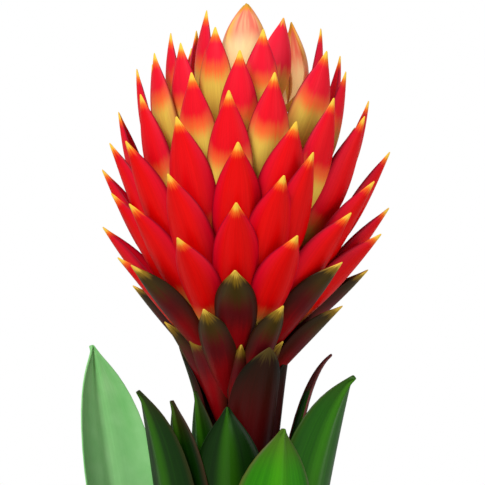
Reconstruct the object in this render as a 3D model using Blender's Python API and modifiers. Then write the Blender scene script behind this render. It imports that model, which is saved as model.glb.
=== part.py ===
"""A potted bromeliad with a cone-shaped flower head. Blender 4.5, metres, +Z up, the front is -Y.

The origin is the centre of the pot's underside. Run it with: blender --background --python part.py
Azimuths are degrees round the plant: 0 is the front and 90 is the right, +X.
"""

import math

import bmesh
import bpy
import numpy as np
from mathutils import Vector

# ---- pot and soil ----
POT_HEIGHT = 0.135
POT_TOP_RADIUS = 0.075
POT_FOOT_RADIUS = 0.053
POT_WALL = 0.005
POT_FLOOR = 0.008
RIM_HEIGHT = 0.024
RIM_PROUD = 0.004
RIM_DRAFT = 0.001
LIP_CHAMFER = 0.001
OUTER_CHAMFER = 0.002
DRAIN_RADIUS = 0.005
DRAIN_SIDES = 12
DRAIN_HOLES = 4
DRAIN_CIRCLE_RADIUS = 0.028
SOIL_LEVEL = 0.122
FIT_GAP = 0.0004
TURNED_STEPS = 40
AXIS_MERGE = 0.00001

# ---- stem ----
STEM_RADIUS = 0.007
STEM_BEVEL_RESOLUTION = 4
STEM_FOOT_Z = 0.070
NECK_Z = 0.388
HEAD_LEAN = 1.55
STEM_TOP_Z = 0.5515

# ---- every blade: a bract or a leaf ----
CURVE_STEPS = 240
POINT_MERGE = 0.00005

# ---- flower head: bracts stand on one spiral round the stem, and their tips on an egg ----
TURN_PER_BRACT = 360 * 2 / 13
FIRST_AZIMUTH = 247.6
FIRST_TIP_Z = 0.4977
RISE_PER_BRACT = 0.0022
RISE_SHRINK = 0.00000702
EGG_RADIUS = 0.065
EGG_EQUATOR_Z = 0.506
EGG_TOP = 0.096
EGG_BOTTOM = 0.068
NECK_TIP_RADIUS = 0.026
BRACT_DROP = 0.046
BRACT_HALF_WIDTH = 0.0115
BRACT_HALF_ANGLE = 12.8
BRACT_TAPER = 0.036
BRACT_BLUNTNESS = 1.05
BRACT_BEND_LOW = 0.15
BRACT_BEND_GAIN = 0.57
BRACT_CUP = 0.0030
BRACT_THICKNESS = 0.0009
BRACT_ROWS = (0.0, 0.24, 0.48, 0.68, 0.86, 1.0)
STEM_BRACTS = range(-30, -25)
STEM_BRACT_TIP_Z = 0.438
STEM_BRACT_TIP_RADIUS = 0.028
STEM_BRACT_RISE = 0.0012
STEM_BRACT_DROP = 0.098
STEM_BRACT_HALF_ANGLE = 22
STEM_BRACT_HALF_WIDTH = 0.0125
STEM_BRACT_TAPER = 0.045
STEM_BRACT_BLUNTNESS = 0.8
# How far each bend of a stem bract lies out from its foot, and below its tip.
STEM_BRACT_BENDS = ((0.004, 0.065), (0.010, 0.022))
LOWER_BRACTS = range(-25, -5)
TIERS = 5
BRACTS_PER_TIER = 12
FIRST_RED_BRACT = -5
BRACT_FOOT_RADIUS = 0.0079
COLLAR_INNER = 0.0074
COLLAR_OUTER = 0.0094
COLLAR_BELOW_FOOT = 0.0007
COLLAR_STEPS = 26
BUD_RADIUS = 0.0115
BUD_TIP_Z = 0.6005
BUD_STEPS = 14
# The bud's outline from its tip down: the share of its height, and of its radius.
BUD_OUTLINE = ((1.0, 0.0), (0.86, 0.34), (0.68, 0.72), (0.48, 1.0), (0.25, 0.92), (0.0, 0.6))

# ---- leaves ----
LEAF_THICKNESS = 0.0009
LEAF_TAPER = 0.070
LEAF_BLUNTNESS = 0.7
LEAF_ROWS = (0.0, 0.1, 0.22, 0.34, 0.46, 0.58, 0.69, 0.79, 0.88, 0.95, 1.0)
LEAF_FOOT_Z = SOIL_LEVEL + 0.0006
FIRST_LEAF_RADIUS = 0.0115
LEAF_LAYER = 0.0017
SHEATH_HALF_ANGLE = 28
GOLDEN_ANGLE = 137.508

# The ends of a leaf's midline run straight for these shares of its span. The outer end also stays
# within a share of how far the tip is out from the foot.
LEAF_RISE_SHARE = 0.42
LEAF_END_SHARE = 0.36
LEAF_OUTWARD_SHARE = 0.8

# The upper leaves round the stem, from the innermost out:
# azimuth, tip radius, tip height, lean at the foot, lean at the tip, half width, twist at the tip.
UPPER_LEAVES = (
    (-52, 0.0217, 0.4205, 1.0, 6, 0.018, 0),
    (100, 0.0459, 0.437, 0.5, 34, 0.019, 0),
    (-5, 0.0320, 0.413, 2.0, 9, 0.022, 0),
    (-76, 0.0285, 0.416, 2.0, 8, 0.019, 0),
    (172, 0.0330, 0.408, 2.0, 10, 0.020, 0),
    (-60, 0.0495, 0.4205, 1.0, 30, 0.020, -10),
    (62, 0.0614, 0.427, 1.0, 36, 0.022, 16),
    (24, 0.0540, 0.402, 4.0, 10, 0.023, 0),
    (132, 0.0510, 0.400, 4.0, 10, 0.021, 0),
    (-172, 0.0560, 0.392, 5.0, 14, 0.022, 0),
    (-136, 0.0984, 0.443, 9.0, 14, 0.024, 0),
)

# The middle and the outer ring of lower leaves. Each has a number of leaves, the first value and the
# step from leaf to leaf of the tip radius, the tip height and the leans at foot and tip, and a half width.
LOWER_LEAF_RINGS = (
    (6, ((0.130, 0.010), (0.345, -0.010), (6, 1.2), (48, 6)), 0.025),
    (7, ((0.215, 0.006), (0.255, -0.012), (14, 1.6), (112, 5)), 0.026),
)
FIRST_LOWER_AZIMUTH = 18


def clear_scene():
    for obj in list(bpy.data.objects):
        bpy.data.objects.remove(obj)


def new_collection(name):
    collection = bpy.data.collections.new(name)
    bpy.context.scene.collection.children.link(collection)
    return collection


def finish_material(name, colour, roughness):
    material = bpy.data.materials.new(name)
    material.use_nodes = True
    shader = material.node_tree.nodes["Principled BSDF"]
    shader.inputs["Base Color"].default_value = (*colour, 1.0)
    shader.inputs["Roughness"].default_value = roughness
    shader.inputs["Metallic"].default_value = 0.0
    return material


def add_object(name, data, material, collection):
    obj = bpy.data.objects.new(name, data)
    data.materials.append(material)
    collection.objects.link(obj)
    return obj


# ---- turned pieces ----


def turned(name, profile, closed, material, collection, steps=TURNED_STEPS):
    """Turns a profile of (radius, height) points round Z. It runs down the outer side."""
    edges = [(i, i + 1) for i in range(len(profile) - 1)]
    if closed:
        edges.append((len(profile) - 1, 0))
    mesh = bpy.data.meshes.new(name)
    mesh.from_pydata([(radius, 0.0, height) for radius, height in profile], edges, [])
    obj = add_object(name, mesh, material, collection)
    screw = obj.modifiers.new("turn", "SCREW")
    screw.steps = steps
    screw.render_steps = steps
    screw.use_merge_vertices = True
    screw.merge_threshold = AXIS_MERGE
    return obj


def pot_radius(height):
    """The pot's outer radius under its rim."""
    return POT_FOOT_RADIUS + (POT_TOP_RADIUS - RIM_PROUD - POT_FOOT_RADIUS) * height / POT_HEIGHT


def make_pot(material, collection, cutters):
    """A tapered pot with a deep rim, and a ring of drain holes in its floor."""
    rim_foot = POT_HEIGHT - RIM_HEIGHT
    bowl = [
        (0.0, POT_FLOOR),
        (pot_radius(POT_FLOOR) - POT_WALL, POT_FLOOR),
        (pot_radius(POT_HEIGHT) - POT_WALL, POT_HEIGHT - LIP_CHAMFER),
        (pot_radius(POT_HEIGHT) - POT_WALL + LIP_CHAMFER, POT_HEIGHT),
    ]
    outside = [
        (POT_TOP_RADIUS - LIP_CHAMFER, POT_HEIGHT),
        (POT_TOP_RADIUS, POT_HEIGHT - OUTER_CHAMFER),
        (POT_TOP_RADIUS - RIM_DRAFT, rim_foot),
        (pot_radius(rim_foot), rim_foot - OUTER_CHAMFER),
        (pot_radius(OUTER_CHAMFER), OUTER_CHAMFER),
        (pot_radius(0.0) - OUTER_CHAMFER, 0.0),
        (0.0, 0.0),
    ]
    pot = turned("pot", [*bowl, *outside], False, material, collection)
    holes = bpy.data.collections.new("drain_holes")
    cutters.children.link(holes)
    for step in range(DRAIN_HOLES):
        bm = bmesh.new()
        bmesh.ops.create_cone(
            bm,
            cap_ends=True,
            segments=DRAIN_SIDES,
            radius1=DRAIN_RADIUS,
            radius2=DRAIN_RADIUS,
            depth=3 * POT_FLOOR,
        )
        mesh = bpy.data.meshes.new("drain_hole")
        bm.to_mesh(mesh)
        bm.free()
        hole = add_object(f"drain_hole_{step + 1}", mesh, material, holes)
        angle = math.tau * (step + 0.5) / DRAIN_HOLES
        hole.location.x = DRAIN_CIRCLE_RADIUS * math.cos(angle)
        hole.location.y = DRAIN_CIRCLE_RADIUS * math.sin(angle)
        hole.hide_render = True
        hole.display_type = "WIRE"
    cut = pot.modifiers.new("drain_holes", "BOOLEAN")
    cut.operation = "DIFFERENCE"
    cut.operand_type = "COLLECTION"
    cut.collection = holes
    return pot


def make_soil(material, collection):
    hole_radius = STEM_RADIUS + 2 * FIT_GAP
    hole_foot = STEM_FOOT_Z - FIT_GAP
    foot = POT_FLOOR + FIT_GAP
    profile = [
        (0.0, hole_foot),
        (hole_radius, hole_foot),
        (hole_radius, SOIL_LEVEL),
        (pot_radius(SOIL_LEVEL) - POT_WALL - 2 * FIT_GAP, SOIL_LEVEL),
        (pot_radius(foot) - POT_WALL - 2 * FIT_GAP, foot),
        (0.0, foot),
    ]
    return turned("soil", profile, False, material, collection)


def make_stem(head, material, collection):
    """A round stem from the soil to the head, leaning from the neck up."""
    curve = bpy.data.curves.new("stem", "CURVE")
    curve.dimensions = "3D"
    curve.bevel_depth = STEM_RADIUS
    curve.bevel_resolution = STEM_BEVEL_RESOLUTION
    curve.use_fill_caps = True
    route = [
        Vector((0, 0, STEM_FOOT_Z)),
        Vector((0, 0, SOIL_LEVEL)),
        Vector((0, 0, NECK_Z)),
        head.matrix_world @ Vector((0, 0, STEM_TOP_Z - NECK_Z)),
    ]
    spline = curve.splines.new("POLY")
    spline.points.add(len(route) - 1)
    for point, place in zip(spline.points, route):
        point.co = (*place, 1.0)
    return add_object("stem", curve, material, collection)


# ---- blades: bracts and leaves are grids shaped by a formula, then given a thickness ----


def curve_points(control, shares):
    """Points at shares of the arc length of a Bezier curve, with its directions there.

    The control points are (radius, height), and each direction is (outwards, upwards).
    """
    fine = np.linspace(0, 1, CURVE_STEPS + 1)
    order = len(control) - 1
    points = sum(
        math.comb(order, i)
        * np.outer((1 - fine) ** (order - i) * fine**i, np.array(control[i]))
        for i in range(order + 1)
    )
    steps = np.linalg.norm(np.diff(points, axis=0), axis=1)
    travelled = np.concatenate([[0], np.cumsum(steps)])
    at = np.interp(np.array(shares) * travelled[-1], travelled, fine)
    places = np.stack([np.interp(at, fine, points[:, k]) for k in (0, 1)], axis=1)
    slopes = np.gradient(points, axis=0)
    ways = np.stack([np.interp(at, fine, slopes[:, k]) for k in (0, 1)], axis=1)
    return places, ways / np.linalg.norm(ways, axis=1, keepdims=True), travelled[-1]


def blade(name, control, rows, half_width, cup, twist, thickness, material, collection):
    """One blade standing in the XZ plane, with its outer face towards +X.

    half_width(from_tip, length, radius) and cup(half, radius) give the section at a row, and
    twist is how far the section has turned at the tip, in degrees.
    """
    places, ways, length = curve_points(control, rows)
    bm = bmesh.new()
    bmesh.ops.create_grid(bm, x_segments=2, y_segments=len(rows) - 1, size=0.5)
    for vert in bm.verts:
        across = 2 * vert.co.x
        row = round((vert.co.y + 0.5) * (len(rows) - 1))
        (radius, height), (outward, upward) = places[row], ways[row]
        half = half_width((1 - rows[row]) * length, length, radius)
        depth = cup(half, radius)
        turn = math.radians(twist) * rows[row] ** 2
        side = Vector((math.sin(turn) * upward, math.cos(turn), -math.sin(turn) * outward))
        inward = Vector((-upward, 0, outward))
        vert.co = Vector((radius, 0, height)) + side * across * half + inward * depth * across**2
    bmesh.ops.remove_doubles(bm, verts=bm.verts, dist=POINT_MERGE)
    bmesh.ops.recalc_face_normals(bm, faces=bm.faces)
    outermost = max(bm.faces, key=lambda face: face.calc_center_median().z)
    if outermost.normal.x < 0:
        bmesh.ops.reverse_faces(bm, faces=bm.faces)
    mesh = bpy.data.meshes.new(name)
    bm.to_mesh(mesh)
    bm.free()
    obj = add_object(name, mesh, material, collection)
    solid = obj.modifiers.new("thickness", "SOLIDIFY")
    solid.thickness = thickness
    solid.offset = 0.0
    return obj


def stand(obj, azimuth, parent=None):
    """Turns a blade to its azimuth round the plant's axis or its parent's."""
    obj.rotation_euler.z = math.radians(azimuth - 90)
    obj.parent = parent
    return obj


def taper_share(from_tip, taper, bluntness):
    """The share of its full width that a blade has at a distance from its tip."""
    left = max(0.0, 1 - from_tip / taper)
    return (1 - left**2) ** bluntness


def round_cup(half, radius):
    """The depth that lays a blade's edges on the same circle round the plant as its middle."""
    return radius - math.sqrt(radius**2 - half**2)


# ---- flower head ----


def bract_tip(number):
    """(radius, height over the neck) of a bract's tip."""
    height = FIRST_TIP_Z + RISE_PER_BRACT * number - RISE_SHRINK * number**2
    over = height - EGG_EQUATOR_Z
    reach = EGG_TOP if over > 0 else EGG_BOTTOM
    radius = EGG_RADIUS * math.sqrt(max(0.0, 1 - (over / reach) ** 2))
    if over < 0:
        radius = max(radius, NECK_TIP_RADIUS)
    return radius, height - NECK_Z


def bract_azimuth(number):
    return FIRST_AZIMUTH + TURN_PER_BRACT * number


def bract_control(number):
    """The bract's midline. Low on the head it climbs first and then leans out, and high up it
    leaves outwards and then climbs.
    """
    tip_radius, tip_height = bract_tip(number)
    foot_height = tip_height - BRACT_DROP
    up_the_head = (tip_height + NECK_Z - EGG_EQUATOR_Z + EGG_BOTTOM) / (EGG_TOP + EGG_BOTTOM)
    bend = BRACT_BEND_LOW + BRACT_BEND_GAIN * up_the_head
    reach = tip_radius - BRACT_FOOT_RADIUS
    return (
        (BRACT_FOOT_RADIUS, foot_height),
        (BRACT_FOOT_RADIUS + bend * reach, foot_height + (1 - bend) * BRACT_DROP),
        (tip_radius, tip_height),
    )


def bract_half_width(from_tip, _length, radius):
    """A wedge of the head's circle that comes to a point, so that the columns stay clear."""
    wedge = radius * math.tan(math.radians(BRACT_HALF_ANGLE))
    return min(wedge, BRACT_HALF_WIDTH * taper_share(from_tip, BRACT_TAPER, BRACT_BLUNTNESS))


def bract_cup(half, _radius):
    return BRACT_CUP * (half / BRACT_HALF_WIDTH) ** 2


def make_bract(name, number, head, material, collection):
    control = bract_control(number)
    obj = blade(
        name, control, BRACT_ROWS, bract_half_width, bract_cup, 0, BRACT_THICKNESS, material, collection
    )
    return stand(obj, bract_azimuth(number), head)


def make_stem_bract(name, number, material, collection):
    """A long dark bract that lies close round the neck, with its foot down the stem."""
    step = number - STEM_BRACTS[0]
    tip_height = STEM_BRACT_TIP_Z + STEM_BRACT_RISE * step
    bends = [(BRACT_FOOT_RADIUS + out, tip_height - down) for out, down in STEM_BRACT_BENDS]
    foot = (BRACT_FOOT_RADIUS, tip_height - STEM_BRACT_DROP)
    control = (foot, *bends, (STEM_BRACT_TIP_RADIUS, tip_height))

    def half_width(from_tip, _length, radius):
        wedge = radius * math.tan(math.radians(STEM_BRACT_HALF_ANGLE))
        full = STEM_BRACT_HALF_WIDTH
        return min(wedge, full * taper_share(from_tip, STEM_BRACT_TAPER, STEM_BRACT_BLUNTNESS))

    obj = blade(
        name, control, LEAF_ROWS, half_width, round_cup, 0, LEAF_THICKNESS, material, collection
    )
    return stand(obj, bract_azimuth(number))


def collar_edge(number):
    """The heights of a collar's face at its inner and outer radius, along the bract's own slope."""
    foot, bend, _tip = bract_control(number)
    slope = (bend[1] - foot[1]) / (bend[0] - foot[0])
    return [
        foot[1] - COLLAR_BELOW_FOOT + slope * (radius - foot[0])
        for radius in (COLLAR_INNER, COLLAR_OUTER)
    ]


def make_tier(index, head, material, collection, cutters):
    """One tier of red bracts, joined where their feet clasp the stem in a collar."""
    first = FIRST_RED_BRACT + index * BRACTS_PER_TIER
    inner_foot, outer_foot = collar_edge(first)
    inner_top, outer_top = collar_edge(first + BRACTS_PER_TIER)
    profile = [
        (COLLAR_OUTER, outer_top - FIT_GAP),
        (COLLAR_OUTER, outer_foot),
        (COLLAR_INNER, inner_foot),
        (COLLAR_INNER, inner_top - FIT_GAP),
    ]
    name = f"bract_tier_{index + 1}"
    tier = turned(name, profile, True, material, collection, COLLAR_STEPS)
    tier.parent = head
    feet = bpy.data.collections.new(name + "_bracts")
    cutters.children.link(feet)
    for number in range(first, first + BRACTS_PER_TIER):
        bract = make_bract(f"{name}_{number - first + 1}", number, head, material, feet)
        bract.hide_render = True
        bract.display_type = "WIRE"
    join = tier.modifiers.new("join", "BOOLEAN")
    join.operation = "UNION"
    join.operand_type = "COLLECTION"
    join.collection = feet
    return tier


def make_bud(head, material, collection):
    """The closed young bracts at the top, as one spindle."""
    foot = STEM_TOP_Z - NECK_Z + FIT_GAP
    tip = BUD_TIP_Z - NECK_Z
    rise = tip - foot
    profile = [(BUD_RADIUS * share, foot + rise * up) for up, share in BUD_OUTLINE]
    bud = turned("apex_bud", [*profile, (0.0, foot)], False, material, collection, BUD_STEPS)
    bud.parent = head
    return bud


# ---- leaves ----


def leaf_control(foot_radius, tip_radius, tip_z, foot_lean, tip_lean):
    """The midline of a leaf from its foot on the soil to its tip, each with its lean in degrees."""
    span = math.hypot(tip_radius - foot_radius, tip_z - LEAF_FOOT_Z)
    first, last = math.radians(foot_lean), math.radians(tip_lean)
    rise = LEAF_RISE_SHARE * span
    outward = LEAF_OUTWARD_SHARE * (tip_radius - foot_radius)
    reach = min(LEAF_END_SHARE * span, outward / math.sin(last))
    return (
        (foot_radius, LEAF_FOOT_Z),
        (foot_radius + rise * math.sin(first), LEAF_FOOT_Z + rise * math.cos(first)),
        (tip_radius - reach * math.sin(last), tip_z - reach * math.cos(last)),
        (tip_radius, tip_z),
    )


def make_leaf(index, azimuth, tip_radius, tip_z, foot_lean, tip_lean, half, twist, material, collection):
    foot_radius = FIRST_LEAF_RADIUS + index * LEAF_LAYER
    control = leaf_control(foot_radius, tip_radius, tip_z, foot_lean, tip_lean)

    def half_width(from_tip, _length, radius):
        blade_half = half * taper_share(from_tip, LEAF_TAPER, LEAF_BLUNTNESS)
        return min(blade_half, radius * math.radians(SHEATH_HALF_ANGLE))

    name = f"leaf_{index + 1:02d}"
    obj = blade(
        name, control, LEAF_ROWS, half_width, round_cup, twist, LEAF_THICKNESS, material, collection
    )
    return stand(obj, azimuth)


def lower_leaves():
    """Rows like those of UPPER_LEAVES for the lower leaves, each a golden angle on from the last."""
    rows = []
    for count, course, half_width in LOWER_LEAF_RINGS:
        for step in range(count):
            azimuth = FIRST_LOWER_AZIMUTH + len(rows) * GOLDEN_ANGLE
            values = [first + change * step for first, change in course]
            rows.append((azimuth, *values, half_width, 0))
    return rows


def make_leaves(material, collection):
    for index, row in enumerate([*UPPER_LEAVES, *lower_leaves()]):
        make_leaf(index, *row, material, collection)


def main():
    clear_scene()
    plant = new_collection("potted_bromeliad")
    cutters = new_collection("joined_shapes")
    clay = finish_material("terracotta", (0.52, 0.21, 0.11), 0.85)
    mix = finish_material("potting_mix", (0.05, 0.03, 0.02), 0.95)
    stalk = finish_material("stalk", (0.12, 0.16, 0.05), 0.5)
    green = finish_material("leaf_green", (0.03, 0.13, 0.02), 0.35)
    maroon = finish_material("dark_bract", (0.10, 0.02, 0.02), 0.4)
    red = finish_material("red_bract", (0.80, 0.02, 0.01), 0.35)
    pale = finish_material("pale_bract", (0.90, 0.45, 0.20), 0.4)

    head = bpy.data.objects.new("head_axis", None)
    plant.objects.link(head)
    head.location.z = NECK_Z
    head.rotation_euler.y = math.radians(HEAD_LEAN)
    bpy.context.view_layer.update()

    make_pot(clay, plant, cutters)
    make_soil(mix, plant)
    make_stem(head, stalk, plant)
    make_leaves(green, plant)
    for place, number in enumerate(STEM_BRACTS):
        make_stem_bract(f"stem_bract_{place + 1}", number, maroon, plant)
    for place, number in enumerate(LOWER_BRACTS):
        make_bract(f"lower_bract_{place + 1:02d}", number, head, maroon, plant)
    for index in range(TIERS):
        make_tier(index, head, red, plant, cutters)
    make_bud(head, pale, plant)


main()
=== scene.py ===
# %% [markdown]
# # A potted bromeliad
# A flowering bromeliad in a clay pot: strap leaves in a rosette, a stem in their middle, and on it a
# cone of pointed bracts, which are leaves turned red. Nearly every piece here is a blade, a leaf or a
# bract, so the lesson is how to grow one straight blade with extrusions, and then lay copies of it
# along curves. Sizes are in metres, +Z is up and the front is -Y.

import math
import random

import bpy
import numpy as np
from mathutils import Matrix, Vector


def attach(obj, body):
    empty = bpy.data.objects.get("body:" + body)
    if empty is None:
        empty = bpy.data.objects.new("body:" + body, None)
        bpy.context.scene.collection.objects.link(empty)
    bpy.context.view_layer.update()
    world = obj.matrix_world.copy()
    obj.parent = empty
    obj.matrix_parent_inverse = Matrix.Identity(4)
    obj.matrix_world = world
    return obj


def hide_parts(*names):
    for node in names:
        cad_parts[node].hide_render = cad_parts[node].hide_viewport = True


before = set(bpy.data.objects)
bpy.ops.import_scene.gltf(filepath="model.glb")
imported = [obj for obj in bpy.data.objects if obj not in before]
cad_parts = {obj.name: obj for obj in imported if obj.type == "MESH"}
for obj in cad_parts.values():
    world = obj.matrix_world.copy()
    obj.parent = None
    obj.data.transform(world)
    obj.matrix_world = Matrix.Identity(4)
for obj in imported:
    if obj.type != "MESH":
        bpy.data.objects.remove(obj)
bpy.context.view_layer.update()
SEED = 11
print("the solid model holds", len(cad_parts), "nodes")

# %% [markdown]
# ## The camera
# It comes first, because it settles what is seen. The view is nearly level and looks up a little,
# from far away with a long lens, so that the cone isn't widened by perspective. The picture is as wide
# as 224 mm at the plant, so it holds the flower head and the tips of the upper leaves.

# %% Camera
VIEW_WIDTH = 0.2236
VIEW_DISTANCE = 1.45
VIEW_CENTRE = Vector((0.0040, 0.0, 0.4889))
VIEW_RISE = math.radians(4.0)
SENSOR_MM = 36

bpy.ops.object.camera_add()
camera = bpy.context.object
camera.name = "camera"
camera.location = VIEW_CENTRE + VIEW_DISTANCE * Vector((0, -math.cos(VIEW_RISE), -math.sin(VIEW_RISE)))
camera.rotation_euler = (math.radians(90) + VIEW_RISE, 0, 0)
camera.data.sensor_width = SENSOR_MM
camera.data.lens = SENSOR_MM * VIEW_DISTANCE / VIEW_WIDTH
bpy.context.scene.camera = camera
print("lens", round(camera.data.lens), "mm")

# %% [markdown]
# ## Light
# Soft daylight from a large window: one broad lamp high in front on the left, a weaker one on the
# right, and a pale world. The camera sees the world as plain white, but the surfaces get a dimmer
# light from it, so that the gaps between the bracts stay deep.

# %% Lights and world
WORLD_LIGHT = 0.42


def add_area_light(name, place, size, watts):
    bpy.ops.object.light_add(type="AREA", location=place)
    lamp = bpy.context.object
    lamp.name = name
    lamp.data.size = size
    lamp.data.energy = watts
    lamp.rotation_euler = (VIEW_CENTRE - Vector(place)).to_track_quat("-Z", "Y").to_euler()
    return lamp


add_area_light("window", (-0.7, -1.3, 1.5), 0.7, 25)
add_area_light("fill", (1.2, -0.9, 0.6), 0.9, 6)

world = bpy.data.worlds.new("pale_room")
bpy.context.scene.world = world
world.use_nodes = True
tree = world.node_tree
tree.nodes.clear()
seen = tree.nodes.new("ShaderNodeBackground")
lit = tree.nodes.new("ShaderNodeBackground")
lit.inputs["Strength"].default_value = WORLD_LIGHT
ray = tree.nodes.new("ShaderNodeLightPath")
mix = tree.nodes.new("ShaderNodeMixShader")
out = tree.nodes.new("ShaderNodeOutputWorld")
for background in (seen, lit):
    background.inputs["Color"].default_value = (1, 1, 1, 1)
tree.links.new(ray.outputs["Is Camera Ray"], mix.inputs["Fac"])
tree.links.new(lit.outputs["Background"], mix.inputs[1])
tree.links.new(seen.outputs["Background"], mix.inputs[2])
tree.links.new(mix.outputs["Shader"], out.inputs["Surface"])
bpy.context.scene.view_settings.view_transform = "Standard"
bpy.context.scene.view_settings.look = "None"

# %% [markdown]
# ## The floor
# A round pale floor under the pot. It is a stage, not a piece of the plant.

# %% Floor
FLOOR_RADIUS = 4.0
bpy.ops.mesh.primitive_circle_add(vertices=96, radius=FLOOR_RADIUS, fill_type="NGON")
floor = bpy.context.object
floor.name = "floor"
floor_paint = bpy.data.materials.new("pale_floor")
floor_paint.use_nodes = True
floor_shader = floor_paint.node_tree.nodes["Principled BSDF"]
floor_shader.inputs["Base Color"].default_value = (0.85, 0.84, 0.82, 1)
floor_shader.inputs["Roughness"].default_value = 0.8
floor.data.materials.append(floor_paint)

# %% [markdown]
# ## Helpers for working by hand
# Operators act on what is active and selected, so one helper makes a single object both, and one
# selects points by their place. Another applies a modifier as soon as it is set, as one would with
# the button.

# %% Helpers for selection and modifiers


def pick(obj):
    for other in bpy.context.selected_objects:
        other.select_set(False)
    obj.select_set(True)
    bpy.context.view_layer.objects.active = obj


def apply_modifier(obj, kind, **settings):
    pick(obj)
    modifier = obj.modifiers.new(kind.lower(), kind)
    for key, value in settings.items():
        setattr(modifier, key, value)
    bpy.ops.object.modifier_apply(modifier=modifier.name)


def settle(obj, matrix):
    """Moves the mesh itself, so that the object stays at the origin, unturned and unscaled."""
    pick(obj)
    obj.matrix_world = matrix
    bpy.ops.object.transform_apply(location=True, rotation=True, scale=True)


def select_points(obj, wanted):
    """Selects the points that pass the test, and leaves the object in edit mode."""
    pick(obj)
    bpy.ops.object.mode_set(mode="EDIT")
    bpy.ops.mesh.select_mode(type="VERT")
    bpy.ops.mesh.select_all(action="DESELECT")
    bpy.ops.object.mode_set(mode="OBJECT")
    for vert in obj.data.vertices:
        vert.select = wanted(vert.co)
    bpy.ops.object.mode_set(mode="EDIT")


def join(pieces, name):
    pick(pieces[0])
    for piece in pieces:
        piece.select_set(True)
    bpy.ops.object.join()
    pieces[0].name = name
    return pieces[0]


# %% [markdown]
# ## Dressing a finished piece
# Every piece gets one material and is parented to the body that it moves with, and the solids of
# the model that it stands for are hidden. Blades are shaded smooth all over, while the pot keeps its
# edges, so the smoothing is a helper of its own.

# %% Helpers for dressing a piece


def dress(piece, material, slot, *nodes):
    piece.data.materials.clear()
    piece.data.materials.append(material)
    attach(piece, "root")
    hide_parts(*nodes)
    return piece


def dress_smooth(piece, material, slot, *nodes):
    pick(piece)
    bpy.ops.object.shade_smooth()
    return dress(piece, material, slot, *nodes)


# %% [markdown]
# ## Numbers on the points
# The colours of a blade follow the blade, not the room, so each point carries a few numbers that a
# material can read later.

# %% Helpers for numbers on points


def keep_number(obj, key, values):
    obj.data.attributes.new(key, "FLOAT", "POINT").data.foreach_set("value", values)


def keep_constant(obj, key, value):
    keep_number(obj, key, np.full(len(obj.data.vertices), float(value)))


# %% [markdown]
# ## The section of a blade
# A bract and a leaf are both a curved sheet. Cut across, each is an arc. A circle is added and cut
# down to that arc, one unit to either side of the middle, which makes every later width easy to set.
# The middle of the arc lies on the X axis.

# %% Cutting a circle down to an arc
ARC_HALF_ANGLE = math.radians(60)
ARC_RADIUS = 1 / math.sin(ARC_HALF_ANGLE)
CIRCLE_SIDES = 36
ROUNDING = 0.0001


def add_arc(name):
    bpy.ops.mesh.primitive_circle_add(
        vertices=CIRCLE_SIDES,
        radius=ARC_RADIUS,
        location=(0, ARC_RADIUS, 0),
        rotation=(0, math.radians(90), 0),
    )
    arc = bpy.context.object
    arc.name = name
    bpy.ops.object.transform_apply()
    deepest = ARC_RADIUS * (1 - math.cos(ARC_HALF_ANGLE)) + ROUNDING
    select_points(arc, lambda point: point.y > deepest)
    bpy.ops.mesh.delete(type="VERT")
    bpy.ops.object.mode_set(mode="OBJECT")
    return arc


# %% [markdown]
# ## A straight blade
# A blade changes width on its way to a point. The arc is extruded along X, and each new row is made
# wider or narrower, and deeper or flatter. The spine, the middle of the arc, stays on the X axis, so
# the blade can later follow a curve by its spine. Two numbers are kept on every point for the
# colours: how far it is along the blade, and how far it is across.

# %% Growing a blade from an arc


def grow_blade(name, rows):
    """rows are (share of the length, half width, depth), each as a share of the widest section."""
    blade = add_arc(name)
    bpy.ops.object.mode_set(mode="EDIT")
    bpy.ops.mesh.select_all(action="SELECT")
    last_share, last_half, last_depth = 0.0, 1.0, 1.0
    for row, (share, half, depth) in enumerate(rows):
        if row:
            bpy.ops.mesh.extrude_region_move(
                TRANSFORM_OT_translate={"value": (share - last_share, 0, 0)}
            )
        bpy.ops.transform.resize(
            value=(1, depth / last_depth, half / last_half), center_override=(share, 0, 0)
        )
        last_share, last_half, last_depth = share, half, depth
    bpy.ops.mesh.select_all(action="SELECT")
    bpy.ops.mesh.normals_make_consistent(inside=False)
    bpy.ops.object.mode_set(mode="OBJECT")
    along = np.array([vert.co.x for vert in blade.data.vertices])
    half_here = np.interp(along, [row[0] for row in rows], [row[1] for row in rows])
    across = np.array([vert.co.z for vert in blade.data.vertices]) / half_here
    keep_number(blade, "along", along)
    keep_number(blade, "across", across)
    print(name, "has", len(blade.data.polygons), "faces")
    return blade


# %% [markdown]
# ## A guide for the bend
# A straight blade takes the bend of a real one from a guide: a flat curve in the XY plane, where X is
# the distance from the plant's axis and Y is the height. Its two ends and how they lean say
# everything, as on a real leaf that leaves the stem one way and ends another.

# %% Adding a guide


def add_guide(foot, foot_lean, tip, tip_lean, reach=0.36):
    """A curve from foot to tip, both (radius, height). A lean is measured from upright."""
    bpy.ops.curve.primitive_bezier_curve_add(location=(0, 0, 0))
    guide = bpy.context.object
    guide.data.dimensions = "2D"
    guide.data.resolution_u = 32
    guide.data.use_stretch = True
    guide.data.use_deform_bounds = True
    span = reach * math.dist(foot, tip)
    for point, (radius, height), lean in zip(
        guide.data.splines[0].bezier_points, (foot, tip), (foot_lean, tip_lean)
    ):
        step = Vector((span * math.sin(lean), span * math.cos(lean), 0))
        point.handle_left_type = "FREE"
        point.handle_right_type = "FREE"
        point.co = (radius, height, 0)
        point.handle_left = point.co - step
        point.handle_right = point.co + step
    return guide


# %% [markdown]
# ## Laying a blade along its guide
# A Curve modifier with stretch fits a copy of the straight blade to its guide from end to end. It then
# gets its thickness and a round of subdivision, and is stood up and turned to its place round the
# plant. How far each point is from the tip, in millimetres, is kept for the colours.

# %% Laying a blade along a guide
QUARTER_TURN = math.radians(90)


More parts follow.
